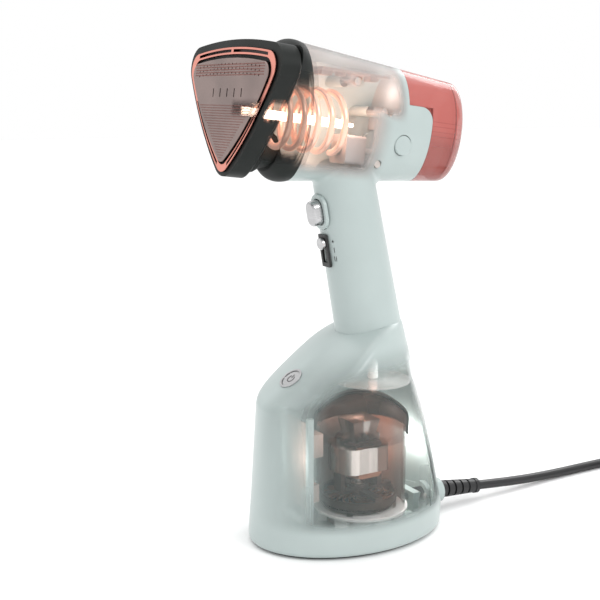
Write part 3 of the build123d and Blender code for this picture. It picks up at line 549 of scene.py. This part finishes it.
# ---------------------------------------------------------------- works in the barrel
class STEAMER_OT_barrel_works(bpy.types.Operator):
    """Finish the heater, steam coil, pump, boards and water tank"""

    bl_idname = "steamer.barrel_works"
    bl_label = "Barrel works"

    def execute(self, context):
        _, colours = settings()
        # Painted glow: the heater rod shines by strong emission, though it is no lamp.
        rod = surface("heater_rod_painted_glow", (1.0, 0.72, 0.58), 0.4)
        rod.shader.inputs["Emission Color"].default_value = (1.0, 0.72, 0.56, 1)
        rod.shader.inputs["Emission Strength"].default_value = 9.0
        paint(rod.material, "heater_rod")
        coil = surface("copper_coil_painted_glow", colours.coil, 0.24, 0.9, grain=500.0, vary=0.12)
        # Painted glow: a faint pinkish emission makes the coil shine, though it is no lamp.
        coil.shader.inputs["Emission Color"].default_value = (1.0, 0.60, 0.47, 1)
        coil.shader.inputs["Emission Strength"].default_value = 0.5
        paint(coil.material, "steam_coil")
        steel = surface("barrel_steel", colours.steel, 0.32, 0.9, grain=600.0, vary=0.1)
        core = surface("heater_block", colours.steel, 0.35, 0.6)
        core.shader.inputs["Alpha"].default_value = 0.35
        paint(core.material, "heater_core")
        paint(steel.material, "thermostat", "shell_screws", "pump_plunger")
        paint(steel.material, "button_spring", "tank_valve_spring")
        grey = surface("dock_grey", (0.42, 0.40, 0.39), 0.45, grain=900.0, vary=0.06)
        paint(grey.material, "tank_dock", "pump_body", "tank_valve")
        paint(surface("pale_hose", (0.6, 0.57, 0.54), 0.5).material, "suction_hose", "nipple_seal")
        board = surface("board_lacquer", (0.34, 0.24, 0.20), 0.4, grain=400.0, grain_depth=0.1, vary=0.3)
        paint(board.material, "head_board", "handle_board", "power_board")
        tank = Finish("coral_tank")
        s, y, v = tank.barrel_axes()
        # Painted light and shade: the coral is lighter towards the top of the tank and darker towards the
        # bottom.
        painted_top_light = tank.colours(v, shade(colours.coral, 0.86), shade(colours.coral, 1.25), -0.012, 0.004)
        tank.link(painted_top_light, tank.shader.inputs["Base Color"])
        for at in (-0.0045, -0.0015, 0.0020, 0.0050):
            line = tank.band(v, at - 0.0005, at, at, at + 0.0005)
            tank.tint(tank.math("MULTIPLY", line, 0.45), (0.28, 0.07, 0.06))
        rim = tank.band(s, 0.1255, 0.1262, 0.1268, 0.1275)
        tank.tint(tank.math("MULTIPLY", rim, 0.6), (0.22, 0.06, 0.055))
        tank.tint(tank.math("MULTIPLY", tank.ramp(s, 0.127, 0.132), 0.35), (0.36, 0.17, 0.15))
        streak = tank.noise(60.0, 2.0, (0.2, 1.0, 2.0))
        tank.link(tank.ramp(streak, 0.2, 0.8, 0.05, 0.12), tank.shader.inputs["Roughness"])
        tank.shader.inputs["Alpha"].default_value = 0.66
        tank.shader.inputs["IOR"].default_value = 1.49
        tank.bump(tank.noise(500.0), 0.01, 0.0003)
        paint(tank.material, "water_tank", "tank_lid", "valve_cap")
        dark = surface("filler_plug", shade(colours.coral, 0.6), 0.4)
        paint(dark.material, "filler_plug")
        smooth_nodes("water_tank", "tank_lid", "steam_coil", "heater_rod", "pump_body", "tank_dock")
        return {"FINISHED"}


# ---------------------------------------------------------------- controls
POWER_ARC = (0.0024, 0.0030)  # inner and outer radius
POWER_BAR = (0.0006, 0.0036, 0.0003)  # near end, far end and half width
MARK_LIFT = 0.00012


def flat_mark(name, outline, lift, placed, material, body):
    """A thin raised mark: a closed outline in the plane, given a thickness and put in place."""
    count = len(outline)
    vertices = [(x, y, h) for h in (0.0, lift) for x, y in outline]
    faces = [tuple(range(count))[::-1], tuple(range(count, 2 * count))]
    faces += [(i, (i + 1) % count, count + (i + 1) % count, count + i) for i in range(count)]
    mesh = bpy.data.meshes.new(name)
    mesh.from_pydata(vertices, [], faces)
    mesh.transform(placed)
    mesh.update()
    return new_piece(name, mesh, material, body)


class STEAMER_OT_controls(bpy.types.Operator):
    """Finish the steam button, slider and power button, and add their marks"""

    bl_idname = "steamer.controls"
    bl_label = "Controls"

    def execute(self, context):
        sizes, colours = settings()
        silver = surface("satin_silver", colours.silver, 0.26, 0.95, grain=800.0, stretch=(1, 1, 6))
        paint(silver.material, "steam_button", "mode_slider", "power_button", "power_ring")
        black = surface("control_black", (0.012, 0.012, 0.012), 0.4)
        paint(black.material, "slider_plate", "trigger_switch", "power_switch", "foot_ring", "wire_loom")
        smooth_nodes("steam_button", "mode_slider", "power_button", "power_ring")
        ink = surface("mark_ink", (0.03, 0.03, 0.03), 0.5).material
        cap = SLOPE @ Matrix.Translation((0.027, 0, 0.0001))
        inner, outer = POWER_ARC
        spread = [math.radians(35 + 290 * i / 28) for i in range(29)]
        arc = [(outer * math.cos(a), outer * math.sin(a)) for a in spread]
        arc += [(inner * math.cos(a), inner * math.sin(a)) for a in reversed(spread)]
        flat_mark("power_mark_arc", arc, MARK_LIFT, cap, ink, "power_button")
        near, far, side = POWER_BAR
        bar = [(near, -side), (far, -side), (far, side), (near, side)]
        flat_mark("power_mark_bar", bar, MARK_LIFT, cap, ink, "power_button")
        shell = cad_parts["left_shell"]
        tall = sizes.mark_height / 2
        around = [2 * math.pi * i / 16 for i in range(16)]
        dot = [(0.0007 * math.cos(a), 0.0007 * math.sin(a)) for a in around]
        line = [(-0.00025, -tall), (0.00025, -tall), (0.00025, tall), (-0.00025, tall)]
        for name, outline, across, up in (
            ("slider_mark_off", dot, 0.0, 0.0065),
            ("slider_mark_one", line, 0.0, 0.0005),
            ("slider_mark_two_a", line, 0.0006, -0.0055),
            ("slider_mark_two_b", line, -0.0006, -0.0055),
        ):
            spots = [(-0.0075 + across + y, up + z) for y, z in outline]
            start = SLIDER @ Vector((-0.03, spots[0][0], sum(z for _, z in spots) / len(spots)))
            ahead = SLIDER.to_3x3() @ Vector((1, 0, 0))
            found, hit, normal, _ = shell.ray_cast(start, ahead)
            if not found:
                raise RuntimeError("no shell behind " + name)
            painted_top_light = (SLIDER.inverted() @ hit).x
            lay = SLIDER @ Matrix.Translation((painted_top_light, 0, 0)) @ Matrix(
                ((0, 0, -1, 0), (1, 0, 0, 0), (0, 1, 0, 0), (0, 0, 0, 1))
            )
            flat_mark(name, spots, 0.00025, lay, ink, "stand")
        return {"FINISHED"}


# ---------------------------------------------------------------- blower in the base
class STEAMER_OT_blower(bpy.types.Operator):
    """Finish the motor, fan, chamber and air duct in the base"""

    bl_idname = "steamer.blower"
    bl_label = "Blower"

    def execute(self, context):
        _, colours = settings()
        bronze = surface(
            "chamber_bronze", colours.bronze, 0.30, 0.85, grain=300.0, vary=0.2, stretch=(1, 1, 0.3)
        )
        x, y, z = bronze.axes()
        away = bronze.sum(x, y, CUT[0], CUT[1], -CHAMBER_X * CUT[0])
        bronze.fade(bronze.ramp(away, 0.002, -0.006), 0.85)
        paint(bronze.material, "chamber_dome")
        dark = surface("bracket_bronze", colours.bronze, 0.34, 0.9, grain=500.0, vary=0.15)
        x, y, z = dark.axes()
        dark.fade(dark.ramp(z, 0.0212, 0.0206), 0.88)
        paint(dark.material, "lower_bracket")
        steel = surface("motor_steel", colours.steel, 0.24, 0.9, grain=600.0, vary=0.05)
        # Painted reflections: dark brown and near-white bands across the motor steel.
        painted_reflection_bands = steel.noise(75.0, 0.0, (1, 1, 0.02))
        steel.tint(steel.ramp(painted_reflection_bands, 0.54, 0.60, 0.0, 0.85), (0.13, 0.055, 0.035))
        steel.tint(steel.ramp(painted_reflection_bands, 0.44, 0.38, 0.0, 0.9), (0.95, 0.86, 0.80))
        paint(steel.material, "stator_stack", "armature_core", "bearing_block")
        paint(steel.material, "motor_bearings", "base_screws")
        wound = shade(colours.copper, 0.5)
        copper = surface(
            "winding_copper", wound, 0.3, 0.9, grain=900.0, grain_depth=0.3, vary=0.25, stretch=(1, 1, 8)
        )
        x, y, z = copper.axes()
        # Painted shade: the copper turns near-black below the lower bracket ring.
        copper.tint(copper.ramp(z, 0.0230, 0.0215), (0.03, 0.022, 0.02))
        paint(copper.material, "field_coils", "armature_winding", "impeller")
        paint(surface("brush_carbon", (0.03, 0.03, 0.03), 0.6).material, "brushes")
        clear = surface("clear_chamber", (0.30, 0.25, 0.23), 0.2, grain=300.0)
        x, y, z = clear.axes()
        away = clear.sum(x, y, CUT[0], CUT[1], -CHAMBER_X * CUT[0])
        right = clear.sum(x, y, CUT[1], -CUT[0], -CHAMBER_X * CUT[1])
        # Painted highlight: a warm, lighter band down one side of the clear chamber wall.
        clear.tint(clear.band(right, 0.006, 0.014, 0.020, 0.027), (0.46, 0.25, 0.18))
        clear.fade(clear.ramp(away, 0.004, -0.004, 0.30, 1.0), 0.95)
        paint(clear.material, "chamber_wall")
        white = surface("white_moulding", (0.82, 0.81, 0.80), 0.4, grain=900.0)
        paint(white.material, "motor_mount")
        duct = surface("duct_moulding", (0.80, 0.80, 0.79), 0.3, grain=900.0)
        x, y, z = duct.axes()
        duct.fade(duct.ramp(z, 0.1065, 0.1060), 0.72)
        paint(duct.material, "air_duct")
        smooth_nodes(
            "chamber_dome", "chamber_wall", "lower_bracket", "stator_stack",
            "bearing_block", "air_duct", "impeller", "field_coils",
        )
        return {"FINISHED"}


STEPS = (
    STEAMER_OT_stage,
    STEAMER_OT_cord,
    STEAMER_OT_shell,
    STEAMER_OT_head,
    STEAMER_OT_barrel_works,
    STEAMER_OT_controls,
    STEAMER_OT_blower,
)


class STEAMER_PT_panel(bpy.types.Panel):
    """The steamer's pieces, in the order that they are made"""

    bl_idname = "STEAMER_PT_panel"
    bl_label = "Steamer"
    bl_space_type = "VIEW_3D"
    bl_region_type = "UI"
    bl_category = "Steamer"

    def draw(self, context):
        for group in (context.scene.steamer_sizes, context.scene.steamer_colours):
            for key in group.__annotations__:
                self.layout.prop(group, key)
        for step in STEPS:
            self.layout.operator(step.bl_idname)


CLASSES = (SteamerSizes, SteamerColours, *STEPS, STEAMER_PT_panel)


def register():
    for cls in CLASSES:
        bpy.utils.register_class(cls)
    bpy.types.Scene.steamer_sizes = bpy.props.PointerProperty(type=SteamerSizes)
    bpy.types.Scene.steamer_colours = bpy.props.PointerProperty(type=SteamerColours)


def unregister():
    del bpy.types.Scene.steamer_sizes
    del bpy.types.Scene.steamer_colours
    for cls in reversed(CLASSES):
        bpy.utils.unregister_class(cls)


def main():
    register()
    for step in STEPS:
        group, name = step.bl_idname.split(".")
        getattr(getattr(bpy.ops, group), name)()


if __name__ == "__main__":
    main()
